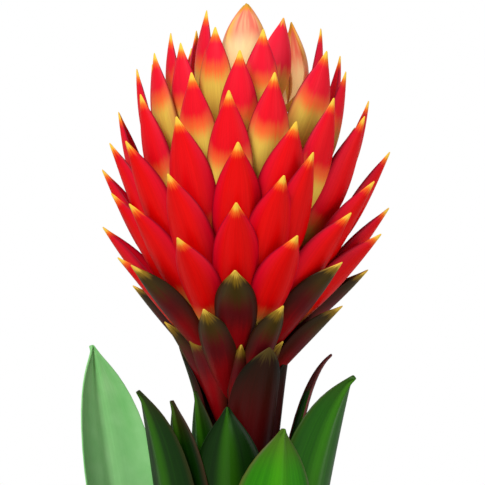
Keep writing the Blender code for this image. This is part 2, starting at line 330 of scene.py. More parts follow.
def lay_blade(master, name, guide, half_width, depth, azimuth, thickness, twist=0.0):
    blade = master.copy()
    blade.data = master.data.copy()
    blade.name = name
    bpy.context.collection.objects.link(blade)
    length = guide.data.splines[0].calc_length()
    settle(blade, Matrix.Diagonal((length, depth, half_width, 1)))
    if twist:
        apply_modifier(blade, "SIMPLE_DEFORM", deform_method="TWIST", deform_axis="X", angle=twist)
    apply_modifier(blade, "CURVE", object=guide, deform_axis="POS_X")
    along = np.empty(len(blade.data.vertices))
    blade.data.attributes["along"].data.foreach_get("value", along)
    keep_number(blade, "from_tip", 1000 * length * (1 - along))
    apply_modifier(blade, "SOLIDIFY", thickness=thickness, offset=0.0, use_even_offset=False)
    apply_modifier(blade, "SUBSURF", levels=1, render_levels=1)
    stand_up = Matrix.Rotation(QUARTER_TURN, 4, "X")
    settle(blade, Matrix.Rotation(azimuth - QUARTER_TURN, 4, "Z") @ stand_up)
    bpy.data.curves.remove(guide.data)
    return blade


# %% [markdown]
# ## The spiral of the flower head
# The bracts stand on one spiral round the stem. From each bract to the next it turns 2/13 of a circle
# and climbs about 2 mm, so the tips form thirteen columns and lie on an egg. The whole head leans a
# little to the right. The solid model follows the same rule, so the visible bracts fill the space of
# its solids. A rule is the better way here: sixty bracts placed by eye would never look grown.

# %% Rules of the spiral
NECK_Z = 0.388
HEAD_LEAN = math.radians(1.55)
HEAD = Matrix.Translation((0, 0, NECK_Z)) @ Matrix.Rotation(HEAD_LEAN, 4, "Y")
TURN_PER_BRACT = math.radians(360 * 2 / 13)
FIRST_AZIMUTH = math.radians(247.6)
EGG_EQUATOR_Z, EGG_TOP, EGG_BOTTOM, EGG_RADIUS = 0.506, 0.096, 0.068, 0.065
LEAST_TIP_RADIUS = 0.026
FOOT_RADIUS = 0.008
FIRST_TIP_Z, CLIMB_PER_BRACT, CLIMB_LOSS = 0.4977, 0.0022, 0.00000702


def tip_height(number):
    """Each bract climbs a little less than the one before."""
    return FIRST_TIP_Z + CLIMB_PER_BRACT * number - CLIMB_LOSS * number**2


def tip_radius(height):
    over = height - EGG_EQUATOR_Z
    reach = EGG_TOP if over > 0 else EGG_BOTTOM
    radius = EGG_RADIUS * math.sqrt(max(0.0, 1 - (over / reach) ** 2))
    return max(radius, LEAST_TIP_RADIUS) if over < 0 else radius


# %% [markdown]
# ## Bracts that stand out of line
# On a real head each bract gives way to its neighbours. These leave the rule by an extra turn in
# degrees, an extra lift of the tip and an extra reach outwards, both in millimetres. A few also lean
# sideways about their foot. The slants are in degrees, to the left as seen from outside.

# %% Departures from the spiral
STRAYS = {
    -25: (0, 5, 0),
    -24: (6, 0, 0),
    -20: (0, 0, -3),
    -19: (0, -2, -5),
    -18: (9, 0, 0),
    -13: (0, 1, -1),
    -12: (0, 5, 0),
    -10: (0, 4, -2),
    -9: (0, 2, 4),
    -6: (0, -4, -4),
    -5: (3, 0, 0),
    -4: (-2, 0, 0),
    -3: (0, 3, 1.5),
    0: (8, -2, 2),
    1: (0, 3, -5),
    3: (0, -3, -3),
    4: (-14, 1, 4),
    7: (0, -3, -5),
    8: (-1, 0, 0),
    9: (-9, -2, 0),
    10: (-12, -2, 0),
    13: (12, -3, 2),
    14: (0, 4, 0),
    16: (-10, -3, 0),
    17: (-17, 0, 6),
    20: (0, -6, -1),
    22: (-3, -3, 0),
    23: (-14, 2, 1),
    24: (-20, 0, 0),
    26: (12, -1, 1),
    27: (0, 1, -1),
    28: (-5, -1, 0),
    29: (-8, -3, 0),
    30: (-10, 0, 4),
    33: (0, 5, 0),
    34: (3, -3, 0),
    35: (-11, -4, 0),
    36: (-9, 0, -1),
    40: (0, -2, 2),
    41: (-1, -4, 0),
    42: (-14, -2, 2),
    43: (-5, -1, 3),
    46: (15, -1, 0),
    47: (-12, -9, 0),
    48: (-14, -4, 0),
    49: (0, 0, 2),
    50: (10, 0, -4),
    52: (0, -5, -9),
    53: (-10, 0, -2),
    54: (-20, -12, -1),
}
SLANTS = {16: 14, 42: -8, 46: -6, 53: -8}


def bract_tip(number):
    """The azimuth, and the (radius, height) of the tip."""
    turn, lift, reach = STRAYS.get(number, (0, 0, 0))
    height = tip_height(number) + 0.001 * lift
    azimuth = FIRST_AZIMUTH + TURN_PER_BRACT * number + math.radians(turn)
    return azimuth, (tip_radius(height) + 0.001 * reach, height)


# %% [markdown]
# ## How a bract leaves the stem and ends
# Low on the head a bract climbs first and then leans out. High up it leaves the stem nearly level
# and then turns upright, so that the top closes like a bud. A short table holds both ends of each
# curve by the height of the tip, and the bracts in between are read off it.

# %% The guide of a bract
# height of the tip, drop to the foot, lean at the foot, lean at the tip, reach of the handles
BRACT_COURSES = (
    (0.438, 0.038, 25, 25, 0.36),
    (0.460, 0.044, 42, 42, 0.36),
    (0.477, 0.050, 47, 42, 0.36),
    (0.500, 0.060, 58, 33, 0.40),
    (0.523, 0.068, 67, 25, 0.43),
    (0.536, 0.070, 69, 20, 0.45),
    (0.548, 0.072, 72, 9, 0.45),
    (0.570, 0.070, 66, 1, 0.45),
    (0.585, 0.066, 56, -6, 0.44),
    (0.600, 0.060, 40, -12, 0.42),
)


def read_off(rows, value, column=1):
    """The value of a column between the two rows that value lies between, in proportion."""
    return float(np.interp(value, [row[0] for row in rows], [row[column] for row in rows]))


def bract_guide(number):
    _, (radius, height) = bract_tip(number)
    drop, foot_lean, tip_lean, reach = (read_off(BRACT_COURSES, height, k) for k in (1, 2, 3, 4))
    level = height - NECK_Z
    return add_guide(
        (FOOT_RADIUS, level - drop),
        math.radians(foot_lean),
        (radius, level),
        math.radians(tip_lean),
        reach,
    )


# %% [markdown]
# ## One bract
# Seen from outside a bract is a teardrop: narrow at its foot, widest a little past its middle, then
# drawn in to a shoulder and a small hard point. The widths are set by their distance from the
# tip. The two ends of the arc give it the depth of a boat.

# %% The straight bract
bract_master = grow_blade(
    "bract",
    (
        (0.00, 0.36, 0.40),
        (0.14, 0.50, 0.52),
        (0.28, 0.70, 0.72),
        (0.42, 0.90, 0.90),
        (0.53, 0.99, 0.98),
        (0.61, 1.00, 1.00),
        (0.69, 0.95, 0.95),
        (0.76, 0.84, 0.86),
        (0.82, 0.68, 0.72),
        (0.87, 0.50, 0.56),
        (0.91, 0.34, 0.41),
        (0.94, 0.215, 0.27),
        (0.965, 0.125, 0.17),
        (0.985, 0.060, 0.09),
        (1.00, 0.008, 0.02),
    ),
)


# %% [markdown]
# ## The bracts of the head
# Each bract is a copy of the straight one, laid along its own guide. It carries two more numbers for
# its colour: its rank, from 0 at the neck to 1 at the top, and a tone of its own, mostly by chance.
# A few tones are chosen: a low one shows more ochre at the foot, and a high one less.

# %% Making bracts
FIRST_LOWER_BRACT = -25
TOP_OF_SPIRAL = 57
BRACT_THICKNESS = 0.0007
CHOSEN_TONES = {27: 0.0, 28: 0.0, 29: 1.0, 34: 0.0, 40: 0.0}
chance = random.Random(SEED)


def make_bract(name, number, guide, half_width, depth):
    azimuth, _ = bract_tip(number)
    foot, _ = guide.data.splines[0].bezier_points
    outward = Vector((math.sin(azimuth), -math.cos(azimuth), 0))
    pivot = Matrix.Translation(foot.co.x * outward + Vector((0, 0, foot.co.y)))
    slant = Matrix.Rotation(math.radians(SLANTS.get(number, 0)), 4, outward)
    blade = lay_blade(bract_master, name, guide, half_width, depth, azimuth, BRACT_THICKNESS)
    settle(blade, HEAD @ pivot @ slant @ pivot.inverted())
    tone = chance.random()
    keep_constant(blade, "rank", (number - FIRST_LOWER_BRACT) / (TOP_OF_SPIRAL - FIRST_LOWER_BRACT))
    keep_constant(blade, "tone", CHOSEN_TONES.get(number, tone))
    return blade


# %% [markdown]
# ## Node materials
# A small helper adds a node, fills its inputs and links them, so that each material below reads as a
# list of steps.

# %% Material helpers


def new_material(name):
    material = bpy.data.materials.new(name)
    material.use_nodes = True
    return material, material.node_tree.nodes["Principled BSDF"]


def node(material, kind, inputs=(), **settings):
    made = material.node_tree.nodes.new(kind)
    for key, value in settings.items():
        setattr(made, key, value)
    for key, value in dict(inputs).items():
        if isinstance(value, bpy.types.NodeSocket):
            material.node_tree.links.new(value, made.inputs[key])
        else:
            made.inputs[key].default_value = value
    return made


def number_of(material, key):
    return node(material, "ShaderNodeAttribute", attribute_name=key).outputs["Fac"]


def math_step(material, operation, first, second=0.0, clamp=False):
    return node(
        material, "ShaderNodeMath", {0: first, 1: second}, operation=operation, use_clamp=clamp
    ).outputs[0]


# %% [markdown]
# ## Mapping and blending
# Most steps of a material are one of two: a number is mapped from one range to another, or two
# colours are blended by a number. Colours are written in the usual 0 to 255 steps.

# %% Helpers for mapping and blending


def spread(material, value, low, high, start=0.0, end=1.0, smooth=True):
    """Maps value from low..high to start..end, held at both ends."""
    return node(
        material,
        "ShaderNodeMapRange",
        {"Value": value, "From Min": low, "From Max": high, "To Min": start, "To Max": end},
        interpolation_type="SMOOTHSTEP" if smooth else "LINEAR",
    ).outputs["Result"]


def blend_colours(material, share, first, second, mode="MIX"):
    """first at share 0 and second at share 1. The colour sockets of a Mix node are its 6 and 7."""
    colours = {
        socket: value if isinstance(value, bpy.types.NodeSocket) else (*value, 1.0)
        for socket, value in ((6, first), (7, second))
    }
    return node(
        material, "ShaderNodeMix", {0: share, **colours}, data_type="RGBA", blend_type=mode
    ).outputs[2]


def srgb(red, green, blue):
    """A colour given in the usual 0 to 255 steps, as the linear values that a shader takes."""

    def linear(step):
        value = step / 255
        return value / 12.92 if value <= 0.04045 else ((value + 0.055) / 1.055) ** 2.4

    return linear(red), linear(green), linear(blue)


def finish(material, shader, **links):
    for key, value in links.items():
        material.node_tree.links.new(value, shader.inputs[key.replace("_", " ").title()])


# %% [markdown]
# ## Veins and uneven edges of colour
# A leaf's colours never meet in a straight line: they run a little further along some veins than
# along others. So the veins are made first, as noise drawn out along the blade, and the distance
# from the tip is shifted by them before any colour is chosen by it.

# %% Helpers for blades
TONE_SHIFT = 40.0


def vein_noise(material, across_scale, along_scale, detail=3.0):
    """Noise with many steps across the blade and few along it. Its place shifts with the tone."""
    place = node(
        material,
        "ShaderNodeCombineXYZ",
        {
            "X": math_step(material, "MULTIPLY", number_of(material, "across"), across_scale),
            "Y": math_step(material, "MULTIPLY", number_of(material, "from_tip"), along_scale),
            "Z": math_step(material, "MULTIPLY", number_of(material, "tone"), TONE_SHIFT),
        },
    ).outputs[0]
    return node(
        material, "ShaderNodeTexNoise", {"Vector": place, "Scale": 1.0, "Detail": detail}
    ).outputs["Fac"]


def uneven_reach(material, veins, unevenness):
    """The distance from the tip in millimetres, shifted along the veins."""
    wander = math_step(material, "MULTIPLY", math_step(material, "SUBTRACT", veins, 0.5), unevenness)
    return math_step(material, "ADD", number_of(material, "from_tip"), wander)


def toward_edge(material):
    """0 along the spine and 1 at either edge."""
    return math_step(material, "ABSOLUTE", number_of(material, "across"))


def raised(material, height, strength, distance=0.0004):
    return node(
        material, "ShaderNodeBump", {"Height": height, "Strength": strength, "Distance": distance}
    ).outputs["Normal"]


# %% [markdown]
# ## Red bracts
# A bract is scarlet over most of its length. The last few millimetres are yellow, and the foot
# pales through orange to ochre. High on the head that foot shows more, so the ochre starts nearer
# to the tip with rank, and there a painted top light makes the red rosier. Towards the edges lies a
# rosy painted sheen, and the very rim gets a thin dark line of painted shade where one bract lies on
# the next. Fine veins run lengthwise.

# %% Material of the red bracts
BRACT_GLOSS = 0.10


def red_bract_material():
    material, shader = new_material("red_bract")
    rank = number_of(material, "rank")
    veins = vein_noise(material, 14.0, 0.02)
    reach = uneven_reach(material, veins, 6.0)
    # The red turns rosier up the head: painted top light.
    red = blend_colours(
        material, spread(material, rank, 0.45, 1.0), srgb(228, 2, 1), srgb(238, 22, 50)
    )
    low_start = spread(material, rank, 0.24, 0.36, 38.0, 50.0, smooth=False)
    high_start = spread(material, rank, 0.60, 0.66, 50.0, 25.0, smooth=False)
    climb = spread(material, rank, 0.64, 1.0, 0.0, 10.0, smooth=False)
    own = spread(material, number_of(material, "tone"), 0.0, 1.0, -5.0, 4.0, smooth=False)
    orange_start = math_step(
        material, "SUBTRACT", math_step(material, "MINIMUM", low_start, high_start), climb
    )
    orange_start = math_step(material, "ADD", orange_start, own)
    edge = toward_edge(material)
    at_edge = math_step(
        material,
        "MULTIPLY",
        spread(material, edge, 0.45, 1.0, 0.0, 5.0),
        spread(material, rank, 0.52, 0.66),
    )
    past = math_step(
        material, "ADD", math_step(material, "SUBTRACT", reach, orange_start), at_edge
    )
    orange = blend_colours(material, spread(material, past, 0.0, 8.0), red, srgb(248, 112, 50))
    ochre = blend_colours(material, spread(material, past, 6.0, 14.0), orange, srgb(238, 204, 84))
    # A rosy painted sheen towards the edges.
    rimmed = blend_colours(
        material, spread(material, edge, 0.5, 1.0, 0.0, 0.5), ochre, srgb(204, 14, 58)
    )
    # A thin dark line of painted shade at the very rim, where one bract lies on the next.
    rimmed = blend_colours(
        material, spread(material, edge, 0.88, 1.0, 0.0, 0.7), rimmed, srgb(118, 4, 30)
    )
    warm = blend_colours(material, spread(material, reach, 8.0, 4.0), rimmed, srgb(250, 104, 26))
    tipped = blend_colours(material, spread(material, reach, 5.0, 2.2), warm, srgb(252, 206, 70))
    toned = blend_colours(
        material,
        spread(material, veins, 0.3, 0.7, 0.0, 0.14),
        tipped,
        srgb(150, 10, 10),
        "MULTIPLY",
    )
    shader.inputs["Specular IOR Level"].default_value = BRACT_GLOSS
    finish(
        material,
        shader,
        base_color=toned,
        roughness=spread(material, veins, 0.3, 0.7, 0.40, 0.52),
        normal=raised(material, veins, 0.12),
    )
    return material


RED = red_bract_material()

# %% [markdown]
# ## Dark bracts
# The lowest bracts are still half leaves: brown-green towards the tip, maroon below, and a dark red at
# the foot. Their points are yellow too. The very lowest turn maroon sooner, and less of their point
# is yellow, so both distances are shifted by rank.

# %% Material of the dark bracts


def dark_bract_material():
    material, shader = new_material("dark_bract")
    veins = vein_noise(material, 8.0, 0.04)
    reach = uneven_reach(material, veins, 10.0)
    edge = toward_edge(material)
    green = srgb(66, 50, 16)
    early = spread(material, number_of(material, "rank"), 0.0, 0.11, 14.0, 0.0, smooth=False)
    down = math_step(material, "ADD", reach, early)
    maroon = blend_colours(material, spread(material, down, 12.0, 26.0), green, srgb(92, 12, 18))
    foot = blend_colours(material, spread(material, down, 26.0, 40.0), maroon, srgb(142, 5, 12))
    sided = blend_colours(material, spread(material, edge, 0.45, 1.0, 0.0, 0.8), foot, srgb(38, 24, 10))
    near = math_step(material, "ADD", reach, math_step(material, "MULTIPLY", early, 0.2))
    warm = blend_colours(material, spread(material, near, 10.0, 5.0), sided, srgb(136, 104, 26))
    tipped = blend_colours(material, spread(material, near, 5.0, 2.0), warm, srgb(232, 190, 70))
    shader.inputs["Specular IOR Level"].default_value = BRACT_GLOSS
    finish(
        material,
        shader,
        base_color=tipped,
        roughness=spread(material, veins, 0.3, 0.7, 0.34, 0.5),
        normal=raised(material, veins, 0.3),
    )
    return material


DARK = dark_bract_material()

# %% [markdown]
# ## How wide and how deep a bract is
# The bracts widen up to the middle of the head and narrow again towards its top. The low ones are
# cupped deeply, like a boat, and the high ones are flatter. Both are read off tables by the bract's
# number: the half width in millimetres, and the depth as a share of it.

# %% Sections of the bracts
HALF_WIDTHS = (
    (-25, 10.0),
    (-24, 5.4),
    (-23, 6.5),
    (-22, 8.5),
    (-18, 8.4),
    (-17, 7.2),
    (-16, 9.2),
    (-12, 9.8),
    (-4, 10.4),
    (-3, 12.4),
    (-2, 10.6),
    (4, 11.2),
    (14, 11.6),
    (23, 12.2),
    (28, 10.8),
    (36, 10.6),
    (41, 9.6),
    (42, 11.4),
    (43, 9.4),
    (52, 9.2),
    (57, 8.0),
)
CUPS = ((16, 1.25), (34, 0.80), (54, 0.65))


def section_at(number):
    """The half width and the depth of a bract's widest section."""
    half = 0.001 * read_off(HALF_WIDTHS, number)
    return half, half * read_off(CUPS, number)


# %% [markdown]
# ## The red tiers
# Sixty red bracts make the head. Twelve successive ones are joined into one piece, as they are one
# solid in the model. Separate pieces would look the same, but would be far too many to handle.

# %% Red tiers
FIRST_RED_BRACT = -5
BRACTS_PER_TIER = 12
TIERS = 5

for tier in range(TIERS):
    first = FIRST_RED_BRACT + tier * BRACTS_PER_TIER
    bracts = []
    for number in range(first, first + BRACTS_PER_TIER):
        bracts.append(make_bract(f"red_{number}", number, bract_guide(number), *section_at(number)))
    piece = join(bracts, f"red_bracts_{tier + 1}")
    dress_smooth(piece, RED, "red_bract", f"bract_tier_{tier + 1}")
    print(piece.name, len(piece.data.polygons), "faces")

# %% [markdown]
# ## The lower bracts
# The same spiral goes on down to the neck. These twenty bracts stay separate pieces. The two nearest
# the tiers are red already, and the rest are dark.

# %% Lower bracts
FIRST_ALL_RED = -7

for place, number in enumerate(range(FIRST_LOWER_BRACT, FIRST_RED_BRACT)):
    bract = make_bract(f"lower_{place + 1}", number, bract_guide(number), *section_at(number))
    material, slot = (DARK, "dark_bract") if number < FIRST_ALL_RED else (RED, "red_bract")
    dress_smooth(bract, material, slot, f"lower_bract_{place + 1:02d}")
print("lower bracts placed")

# %% [markdown]
# ## The colour of young bracts
# Young bracts are not red yet: they are salmon pink with gold edges, paling to cream lower down. One
# of them has turned already. One material does for both, and a number on the points, the blush,
# chooses between them.

# %% Material of the young bracts


def young_bract_material():
    material, shader = new_material("young_bract")
    veins = vein_noise(material, 7.0, 0.05)
    reach = uneven_reach(material, veins, 9.0)
    edge = toward_edge(material)
    pink = blend_colours(
        material, spread(material, veins, 0.35, 0.65), srgb(252, 166, 126), srgb(246, 120, 98)
    )
    gold = blend_colours(material, spread(material, edge, 0.55, 0.9), pink, srgb(250, 190, 92))
    gold = blend_colours(material, spread(material, edge, 0.88, 1.0, 0.0, 0.8), gold, srgb(212, 96, 34))
    foot = blend_colours(material, spread(material, reach, 15.0, 26.0), gold, srgb(252, 222, 160))
    warm = blend_colours(material, spread(material, reach, 7.0, 3.0), foot, srgb(238, 146, 52))
    tipped = blend_colours(material, spread(material, reach, 4.0, 1.0), warm, srgb(206, 160, 50))
    red = blend_colours(
        material, spread(material, reach, 22.0, 32.0), srgb(234, 30, 56), srgb(238, 178, 84)
    )
    red = blend_colours(material, spread(material, reach, 4.0, 1.5), red, srgb(240, 168, 70))
    either = blend_colours(material, number_of(material, "blush"), tipped, red)
    shader.inputs["Specular IOR Level"].default_value = BRACT_GLOSS
    finish(
        material,
        shader,
        base_color=either,
        roughness=spread(material, veins, 0.3, 0.7, 0.4, 0.5),
        normal=raised(material, veins, 0.25),
    )
    return material


YOUNG = young_bract_material()

# %% [markdown]
# ## The bud
# The top is a closed bud of four pale young bracts, wrapped over one another, the front one
# outermost. Two more stand beside it on the right, and one of those is red. All are copies of the
# same straight bract, laid along guides that bend back inwards at the tip.

# %% The bud
# azimuth, foot radius, tip radius, tip height, lean at the foot and at the tip, half width, reach, blush
YOUNG_BRACTS = (
    (170, 7.0, 0.4, 599.6, 15, -41, 9.5, 0.40, 0),
    (82, 7.6, 0.6, 599.8, 16, -42, 9.5, 0.40, 0),
    (-82, 7.8, 0.8, 599.2, 15, -42, 9.5, 0.40, 0),
    (4, 8.6, 0.9, 600.0, 17, -43, 10.0, 0.41, 0),
    (116, 6.2, 23.5, 593.5, 75, -28, 12.5, 0.56, 0),
    (52, 6.4, 22.0, 592.0, 55, -10, 10.5, 0.44, 1),
)
YOUNG_DROP = 0.050
YOUNG_THICKNESS = 0.0006

young = []
for place, row in enumerate(YOUNG_BRACTS):
    azimuth, foot_radius, radius, height, foot_lean, tip_lean, half, reach, blush = row
    level = 0.001 * height - NECK_Z
    guide = add_guide(
        (0.001 * foot_radius, level - YOUNG_DROP),
        math.radians(foot_lean),
        (0.001 * radius, level),
        math.radians(tip_lean),
        reach,
    )
    blade = lay_blade(
        bract_master,
        f"young_{place + 1}",
        guide,
        0.001 * half,
        0.001 * half,
        math.radians(azimuth),
        YOUNG_THICKNESS,
    )
    settle(blade, HEAD)
    keep_constant(blade, "tone", chance.random())
    keep_constant(blade, "blush", blush)
    young.append(blade)
bud = dress_smooth(join(young, "young_bracts"), YOUNG, "bud", "apex_bud")
print(bud.name, len(bud.data.polygons), "faces")

# %% [markdown]
# ## The shape of a neck bract
# Below the head the stem is wrapped in long dark bracts. They are the last steps from leaf to bract,
# so they are longer and narrower than the bracts, widest above their middle, with a blunter tip that
# flattens out. That needs a straight blade of its own.

# %% The straight neck bract
neck_master = grow_blade(
    "neck_bract",
    (
        (0.00, 0.62, 0.62),
        (0.15, 0.70, 0.70),
        (0.30, 0.82, 0.82),
        (0.45, 0.93, 0.92),
        (0.58, 0.99, 0.98),
        (0.70, 1.00, 1.00),
        (0.79, 0.96, 0.90),
        (0.86, 0.84, 0.66),
        (0.91, 0.66, 0.40),
        (0.95, 0.44, 0.20),
        (0.98, 0.20, 0.07),
        (1.00, 0.015, 0.01),
    ),
)

# %% [markdown]
# ## The colour of the neck bracts
# They are a very dark brown, greener at the edges, and redden downwards. The tip has only a dull
# trace of yellow.

# %% Material of the neck bracts


def neck_bract_material():
    material, shader = new_material("neck_bract")
    veins = vein_noise(material, 9.0, 0.02)
    reach = uneven_reach(material, veins, 16.0)
    edge = toward_edge(material)
    brown = blend_colours(
        material, spread(material, edge, 0.3, 1.0), srgb(42, 18, 8), srgb(18, 16, 4)
    )
    foot = blend_colours(material, spread(material, reach, 8.0, 42.0, 0.0, 0.85), brown, srgb(82, 2, 6))
    tipped = blend_colours(material, spread(material, reach, 8.0, 2.0), foot, srgb(80, 64, 24))
    shader.inputs["Specular IOR Level"].default_value = BRACT_GLOSS
    finish(
        material,
        shader,
        base_color=tipped,
        roughness=spread(material, veins, 0.3, 0.7, 0.32, 0.5),
        normal=raised(material, veins, 0.3),
    )
    return material


NECK = neck_bract_material()

# %% [markdown]
# ## Long bracts round the neck
# Five of them overlap round the stem, nearly upright. The first in the list lies outermost, so each
# foot stands a step further in than the one before.

# %% Neck bracts
# azimuth, tip radius, tip height, lean at the foot, lean at the tip, half width
NECK_BRACTS = (
    (27, 35.5, 439.5, 9, 24, 12.5),
    (88, 25.5, 440.0, 13, 8, 11.0),
    (137, 27.0, 441.0, 8, 18, 11.0),
    (-168, 27.0, 441.0, 8, 18, 11.0),
    (-104, 26.0, 441.5, 7, 22, 10.5),
)
NECK_DROP = 0.098
NECK_FOOT_RADIUS = 0.0083
NECK_STEP = 0.0009
NECK_REACH = 0.42

for place, (azimuth, radius, height, foot_lean, tip_lean, half) in enumerate(NECK_BRACTS):
    foot_radius = NECK_FOOT_RADIUS + NECK_STEP * (len(NECK_BRACTS) - 1 - place)
    guide = add_guide(
        (foot_radius, 0.001 * height - NECK_DROP),
        math.radians(foot_lean),
        (0.001 * radius, 0.001 * height),
        math.radians(tip_lean),
        NECK_REACH,
    )
    name = f"neck_bract_{place + 1}"
    blade = lay_blade(
        neck_master, name, guide, 0.001 * half, 0.001 * half, math.radians(azimuth), BRACT_THICKNESS
    )
    keep_constant(blade, "tone", chance.random())
    dress_smooth(blade, NECK, "dark_bract", f"stem_bract_{place + 1}")
print("neck bracts placed")

# %% [markdown]
# ## One leaf
# A leaf is a long strap. Its foot clasps the stem like a sheath, its middle is a shallow channel, and
# it ends in a short point. The spine is pressed outwards a little, which gives the fold along the
# middle that parts the light side from the dark.

# %% The straight leaf
SPINE_PRESS = 0.10
SPINE_BAND = 0.01

leaf_master = grow_blade(
    "leaf",
    (
        (0.00, 0.27, 0.15),
        (0.04, 0.28, 0.15),
        (0.12, 0.36, 0.19),
        (0.25, 0.50, 0.27),
        (0.40, 0.68, 0.38),
        (0.55, 0.85, 0.48),
        (0.68, 0.97, 0.55),
        (0.77, 1.00, 0.56),
        (0.84, 0.94, 0.52),
        (0.90, 0.77, 0.43),
        (0.94, 0.55, 0.31),
        (0.965, 0.34, 0.20),
        (0.98, 0.18, 0.12),
        (0.99, 0.09, 0.07),
        (1.00, 0.012, 0.02),
    ),
)
select_points(leaf_master, lambda point: abs(point.z) < SPINE_BAND)
bpy.ops.transform.translate(value=(0, -SPINE_PRESS, 0))
bpy.ops.object.mode_set(mode="OBJECT")

# %% [markdown]
# ## Leaf green
# All leaves share one material. Each has numbers of its own for how light its green is, how
# much of a pale bloom lies on it, and how brown its edge and tip are. Fine lines run along the leaf,
# and broad faint bands cross it. A painted highlight runs along the fold in the middle, and painted
# shade darkens the green towards the edges.

# %% Material of the leaves
LEAF_GLOSS = 0.14


def leaf_material():
    material, shader = new_material("leaf")
    veins = vein_noise(material, 16.0, 0.010)
    bands = vein_noise(material, 2.0, 0.06)
    edge = toward_edge(material)
    # A lighter band along the fold in the middle: a painted highlight, in the dark and the light green
    # alike.
    fold_highlight = spread(material, edge, 0.42, 0.08)
    dark = blend_colours(material, veins, srgb(4, 26, 0), srgb(16, 54, 2))
    dark = blend_colours(material, math_step(material, "MULTIPLY", fold_highlight, 0.8), dark, srgb(44, 98, 8))
    light = blend_colours(material, veins, srgb(26, 104, 0), srgb(58, 152, 2))
    light = blend_colours(material, math_step(material, "MULTIPLY", fold_highlight, 0.4), light, srgb(84, 176, 10))
    green = blend_colours(material, number_of(material, "shade"), dark, light)
    # The green darkens towards each edge: painted shade.
    green = blend_colours(
        material, spread(material, edge, 0.5, 1.0, 0.0, 0.4), green, srgb(60, 90, 40), "MULTIPLY"
    )
    bloom = blend_colours(material, bands, srgb(110, 200, 104), srgb(176, 236, 164))
    covered = blend_colours(material, number_of(material, "bloom"), green, bloom)
    rim = math_step(
        material,
        "MULTIPLY",
        spread(material, edge, 0.84, 1.0),
        number_of(material, "blush"),
        clamp=True,
    )
    rimmed = blend_colours(material, rim, covered, srgb(116, 54, 50))
    tip = math_step(
        material,
        "MULTIPLY",
        spread(material, number_of(material, "from_tip"), 22.0, 3.0),
        number_of(material, "blush"),
        clamp=True,
    )
    tipped = blend_colours(material, tip, rimmed, srgb(96, 40, 36))
    sheath = blend_colours(
        material,
        spread(material, number_of(material, "along"), 0.22, 0.04),
        tipped,
        srgb(150, 152, 84),
    )
    shader.inputs["Specular IOR Level"].default_value = LEAF_GLOSS
    finish(
        material,
        shader,
        base_color=sheath,
        roughness=spread(material, bands, 0.3, 0.7, 0.30, 0.42),
        normal=raised(material, veins, 0.2),
    )
    return material


LEAF = leaf_material()

# %% [markdown]
# ## A list of the leaves
# The upper leaves stand nearly upright round the neck, each with a place of its own. The middle
# leaves arch, and the outer ones hang over the pot's rim. Those two rings follow the golden angle, so
# that no leaf lies straight above another, and chance gives each its twist and its colour.

# %% Rows of leaves
# azimuth, tip radius, tip height, lean at the foot and at the tip, half width, twist, shade, bloom, blush
LEAVES = [
    (-52, 21.7, 420.5, 1, 6, 15, 0, 0.05, 0.0, 0.1),
    (100, 45.9, 438, 0.5, 52, 8, 10, 0.1, 0.0, 8.0),
    (-5, 32, 413, 2, 9, 22, 0, 0.0, 0.0, 0.0),
    (-54, 34.0, 416, 2, 8, 17, 0, 0.0, 0.0, 0.2),
    (172, 33, 408, 2, 10, 18, 0, 0.3, 0.0, 0.2),
    (-60, 49.5, 420.5, 1, 30, 18, 6, 0.05, 0.0, 0.1),
    (62, 61.4, 427, 0.5, 44, 21, -14, 0.4, 0.0, 0.1),
    (24, 54, 403, 4, 10, 24, 0, 0.95, 0.0, 0.35),
    (132, 53, 400, 4, 10, 19, 0, 0.05, 0.0, 0.3),
    (-172, 56, 392, 5, 14, 20, 0, 0.3, 0.0, 0.2),
    (-136, 98.4, 444.5, 10, 12, 24, 0, 0.5, 0.9, 0.0),
]
UPPER_LEAVES = len(LEAVES)
FIRST_LOWER_AZIMUTH = 18
GOLDEN_ANGLE = 137.508
MOST_TWIST = 8
MOST_BLOOM = 0.2


def add_ring(count, radius, height, foot_lean, tip_lean, half, shades, blushes):
    """The four before half are (first value, step from leaf to leaf). The last two are ranges."""
    for step in range(count):
        azimuth = FIRST_LOWER_AZIMUTH + (len(LEAVES) - UPPER_LEAVES) * GOLDEN_ANGLE
        places = [first + change * step for first, change in (radius, height, foot_lean, tip_lean)]
        twist = chance.uniform(-MOST_TWIST, MOST_TWIST)
        looks = (chance.uniform(*shades), chance.uniform(0.0, MOST_BLOOM), chance.uniform(*blushes))
        LEAVES.append((azimuth, *places, half, twist, *looks))


add_ring(6, (130, 10), (345, -10), (6, 1.2), (48, 6), 23, (0.2, 0.7), (0.1, 0.5))
add_ring(7, (213.4, 6), (255, -12), (14, 1.6), (112, 5), 24, (0.2, 0.6), (0.2, 0.7))
print(UPPER_LEAVES, "upper leaves and", len(LEAVES) - UPPER_LEAVES, "lower ones")

# %% [markdown]
# ## The guide of a leaf
# A leaf first climbs along the stem and then swings out. Its foot handle is longer than its tip
# handle, and the tip handle is kept short enough not to pass through the stem.

# %% The guide of a leaf
LEAF_FOOT_Z = 0.1226
RISE_SHARE = 0.42
END_SHARE = 0.36
OUTWARD_SHARE = 0.8


def leaf_guide(foot_radius, radius, height, foot_lean, tip_lean):
    guide = add_guide((foot_radius, LEAF_FOOT_Z), foot_lean, (radius, height), tip_lean)
    span = math.dist((foot_radius, LEAF_FOOT_Z), (radius, height))
    foot, tip = guide.data.splines[0].bezier_points
    rise = RISE_SHARE * span
    reach = min(END_SHARE * span, OUTWARD_SHARE * (radius - foot_radius) / math.sin(tip_lean))
    foot.handle_right = foot.co + rise * Vector((math.sin(foot_lean), math.cos(foot_lean), 0))
    tip.handle_left = tip.co - reach * Vector((math.sin(tip_lean), math.cos(tip_lean), 0))
    return guide


# %% [markdown]
# ## Placing the leaves
# The sheaths wrap the stem in turn, so each foot stands one layer further out than the last. That
# keeps them from cutting through one another where they are closest.

# %% Leaves
FIRST_LEAF_RADIUS = 0.0115
LEAF_LAYER = 0.0017
LEAF_THICKNESS = 0.0010

